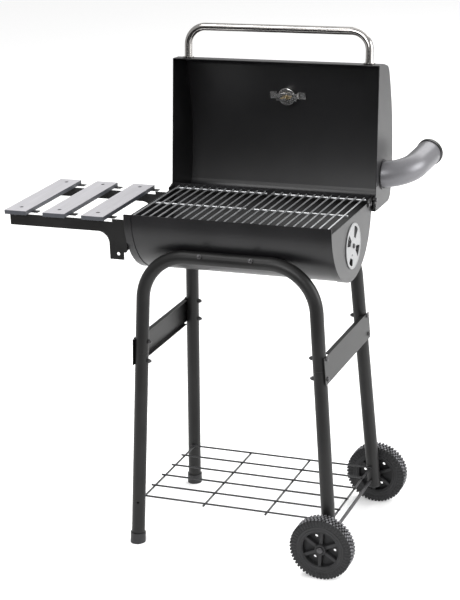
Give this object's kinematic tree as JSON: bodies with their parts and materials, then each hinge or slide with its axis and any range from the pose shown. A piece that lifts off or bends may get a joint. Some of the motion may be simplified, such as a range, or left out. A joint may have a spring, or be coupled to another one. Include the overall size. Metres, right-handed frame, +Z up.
{
  "type": "barrel charcoal grill cart",
  "caption": "Barrel charcoal grill on a wheeled tube cart, with a hinged lid that carries a chimney and a thermometer, a slatted side table and a wire shelf.",
  "frame": {"origin": "on the floor under the centre of the whole grill's box, lid open", "axes": "+X towards the wheels and chimney, +Y to the back, +Z up"},
  "size_m": [0.9364, 0.6182, 1.2022],
  "materials": {
    "black_enamel": "heat-resistant satin black enamel",
    "grey_enamel": "satin graphite-grey enamel",
    "black_paint": "satin black paint",
    "black_wire": "black coated wire",
    "chrome": "bright chrome plate",
    "black_zinc": "black zinc plated",
    "pale_zinc": "bright zinc plated",
    "gauge_steel": "polished steel",
    "brass": "plain brass",
    "glass": "clear",
    "dial_white": "matt white",
    "needle_red": "matt red",
    "slat_grey": "smooth pale grey",
    "wheel_black": "moulded dark grey",
    "foot_black": "moulded black"
  },
  "bodies": {
    "cart": {"barrel_shell": "black_enamel", "barrel_end_left": "black_enamel", "barrel_end_right": "black_enamel", "grate_rails": "black_paint", "leg_frame_front": "black_paint", "leg_frame_rear": "black_paint", "lower_leg_left_front": "black_paint", "lower_leg_left_rear": "black_paint", "lower_leg_right_front": "black_paint", "lower_leg_right_rear": "black_paint", "foot_cap_front": "foot_black", "foot_cap_rear": "foot_black", "leg_plugs": "foot_black", "side_brace_left": "black_paint", "side_brace_right": "black_paint", "brace_bolts": "black_zinc", "frame_bolts": "black_zinc", "hex_nuts": "black_zinc", "axle": "black_zinc", "axle_caps": "black_zinc", "bottom_shelf": "black_wire", "hinge_bracket_left": "black_paint", "hinge_bracket_right": "black_paint", "hinge_pins": "black_zinc", "hinge_rivets": "black_zinc", "table_arm_front": "black_paint", "table_arm_rear": "black_paint", "slat_outer": "slat_grey", "slat_middle": "slat_grey", "slat_inner": "slat_grey", "slat_screws": "black_zinc", "slat_nuts": "black_zinc", "table_bolts": "black_zinc", "vent_screw": "black_zinc"},
    "lid": {"lid_shell": "black_enamel", "lid_end_left": "black_enamel", "lid_end_right": "black_enamel", "lid_handle": "chrome", "handle_washers": "chrome", "handle_plugs": "black_zinc", "handle_screws": "black_zinc", "chimney_pipe": "grey_enamel", "chimney_collar": "black_enamel", "chimney_rim": "black_paint", "gauge_case": "gauge_steel", "gauge_bezel": "gauge_steel", "gauge_dial": "dial_white", "gauge_lens": "glass", "gauge_strap": "gauge_steel", "gauge_wing_nut": "brass"},
    "needle": {"gauge_needle": "needle_red"},
    "front_wheel": {"wheel_hub_front": "wheel_black", "wheel_tyre_front": "wheel_black"},
    "rear_wheel": {"wheel_hub_rear": "wheel_black", "wheel_tyre_rear": "wheel_black"},
    "vent": {"vent_disc": "pale_zinc"},
    "left_grate": {"cooking_grate_left": "chrome"},
    "right_grate": {"cooking_grate_right": "chrome"},
    "coal_grate": {"charcoal_grate": "black_wire"}
  },
  "joints": [
    {"name": "lid_hinge", "type": "hinge", "parent": "cart", "child": "lid", "pos_m": [0.0968, 0.0915, 0.8068], "axis": [1, 0, 0], "range_deg": [0, 97.4]},
    {"name": "needle_turn", "type": "hinge", "parent": "lid", "child": "needle", "pos_m": [0.0968, 0.22737, 1.01907], "axis": [0, 0.988, 0.1547], "range_deg": [-270, 0], "stiffness_Nm_per_rad": 0.002},
    {"name": "front_wheel_spin", "type": "hinge", "parent": "cart", "child": "front_wheel", "pos_m": [0.3368, -0.2861, 0.075], "axis": [0, 1, 0], "continuous": true},
    {"name": "rear_wheel_spin", "type": "hinge", "parent": "cart", "child": "rear_wheel", "pos_m": [0.3368, 0.1539, 0.075], "axis": [0, 1, 0], "continuous": true},
    {"name": "vent_turn", "type": "hinge", "parent": "cart", "child": "vent", "pos_m": [0.3508, -0.0641, 0.738], "axis": [1, 0, 0], "continuous": true},
    {"name": "left_grate_lift", "type": "slide", "parent": "cart", "child": "left_grate", "axis": [0, 0, 1], "range_m": [0, 0.06]},
    {"name": "right_grate_lift", "type": "slide", "parent": "cart", "child": "right_grate", "axis": [0, 0, 1], "range_m": [0, 0.06]},
    {"name": "charcoal_grate_lift", "type": "slide", "parent": "cart", "child": "coal_grate", "axis": [0, 0, 1], "range_m": [0, 0.04]}
  ]
}
